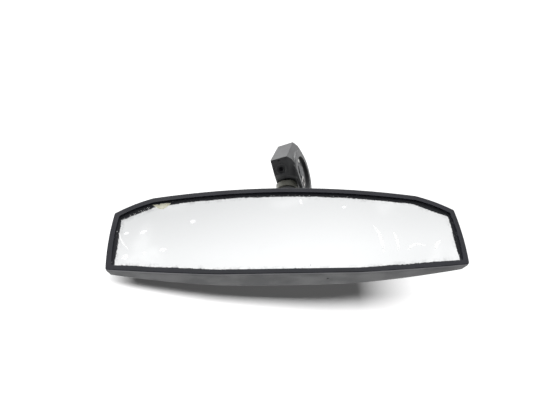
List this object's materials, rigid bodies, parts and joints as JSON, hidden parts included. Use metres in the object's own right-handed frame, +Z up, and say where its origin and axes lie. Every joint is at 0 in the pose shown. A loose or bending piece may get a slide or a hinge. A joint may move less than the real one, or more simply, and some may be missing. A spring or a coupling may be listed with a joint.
{
  "type": "interior rearview mirror",
  "caption": "Wide framed mirror head on a bent arm with a ball joint at each end and a faceted foot that clips to a windscreen button.",
  "frame": {"origin": "centre of the foot's round rim, in the plane that seats against the windscreen", "axes": "+X to the right as the driver looks at the glass, +Y forwards away from the driver, +Z up; the glass faces -Y"},
  "size_m": [0.25, 0.0689, 0.1331],
  "materials": {
    "housing_plastic": "fine-grained moulded texture, satin dark grey",
    "bezel_plastic": "satin dark grey, lightly worn along the edges",
    "silvered_glass": "second-surface mirror, dark corroded border",
    "foam": "closed-cell foam, black",
    "carrier_plastic": "plain moulded, mid grey",
    "zinc_steel": "zinc plated",
    "socket_plastic": "glass-filled nylon, dark grey",
    "spring_steel": "bare spring steel, dull",
    "nylon": "natural nylon, slightly yellowed",
    "ball_steel": "machined, greased",
    "arm_paint": "black powder coat",
    "collar_plastic": "satin grey-beige",
    "foot_plastic": "fine moulded texture, dark grey",
    "black_steel": "black oxide"
  },
  "bodies": {
    "foot": {"foot_body": "foot_plastic", "socket_plug": "foot_plastic", "locking_screw": "black_steel", "spring_clip": "spring_steel", "clip_rivets": "zinc_steel", "release_loop": "spring_steel"},
    "foot_socket_liner": {"foot_liner": "nylon"},
    "foot_pivot_ball": {"foot_ball": "ball_steel"},
    "arm": {"arm_body": "arm_paint", "arm_collar": "collar_plastic", "foot_stem": "ball_steel", "head_stem": "ball_steel", "stem_clips": "spring_steel"},
    "head_pivot_ball": {"head_ball": "ball_steel"},
    "head_socket_liner": {"head_liner": "nylon"},
    "head": {"front_bezel": "bezel_plastic", "mirror_glass": "silvered_glass", "glass_pad": "foam", "rear_housing": "housing_plastic", "carrier_plate": "carrier_plastic", "carrier_screws": "zinc_steel", "socket_block": "socket_plastic", "retainer_ring": "socket_plastic", "socket_screws": "zinc_steel", "spring_washer": "spring_steel", "rattle_pads": "foam"}
  },
  "joints": [
    {"name": "foot_tilt", "type": "hinge", "parent": "foot", "child": "foot_socket_liner", "pos_m": [-0.01409, 0.0009, 0.0021], "axis": [-0.4131, -0.9107, 0], "range_deg": [-4, 2]},
    {"name": "foot_roll", "type": "hinge", "parent": "foot_socket_liner", "child": "foot_pivot_ball", "pos_m": [-0.01409, 0.0009, 0.0021], "axis": [0.9107, -0.4131, 0], "range_deg": [-4, 4]},
    {"name": "arm_swivel", "type": "hinge", "parent": "foot_pivot_ball", "child": "arm", "pos_m": [-0.01409, 0.0009, 0.0021], "axis": [0, 0, 1], "continuous": true},
    {"name": "head_roll", "type": "hinge", "parent": "arm", "child": "head_pivot_ball", "pos_m": [-0.021, -0.033, -0.0691], "axis": [0, 1, 0], "range_deg": [-20, 20]},
    {"name": "head_yaw", "type": "hinge", "parent": "head_pivot_ball", "child": "head_socket_liner", "pos_m": [-0.021, -0.033, -0.0691], "axis": [0, 0, 1], "range_deg": [-15, 15]},
    {"name": "head_pitch", "type": "hinge", "parent": "head_socket_liner", "child": "head", "pos_m": [-0.021, -0.033, -0.0691], "axis": [1, 0, 0], "range_deg": [-15, 15]}
  ]
}
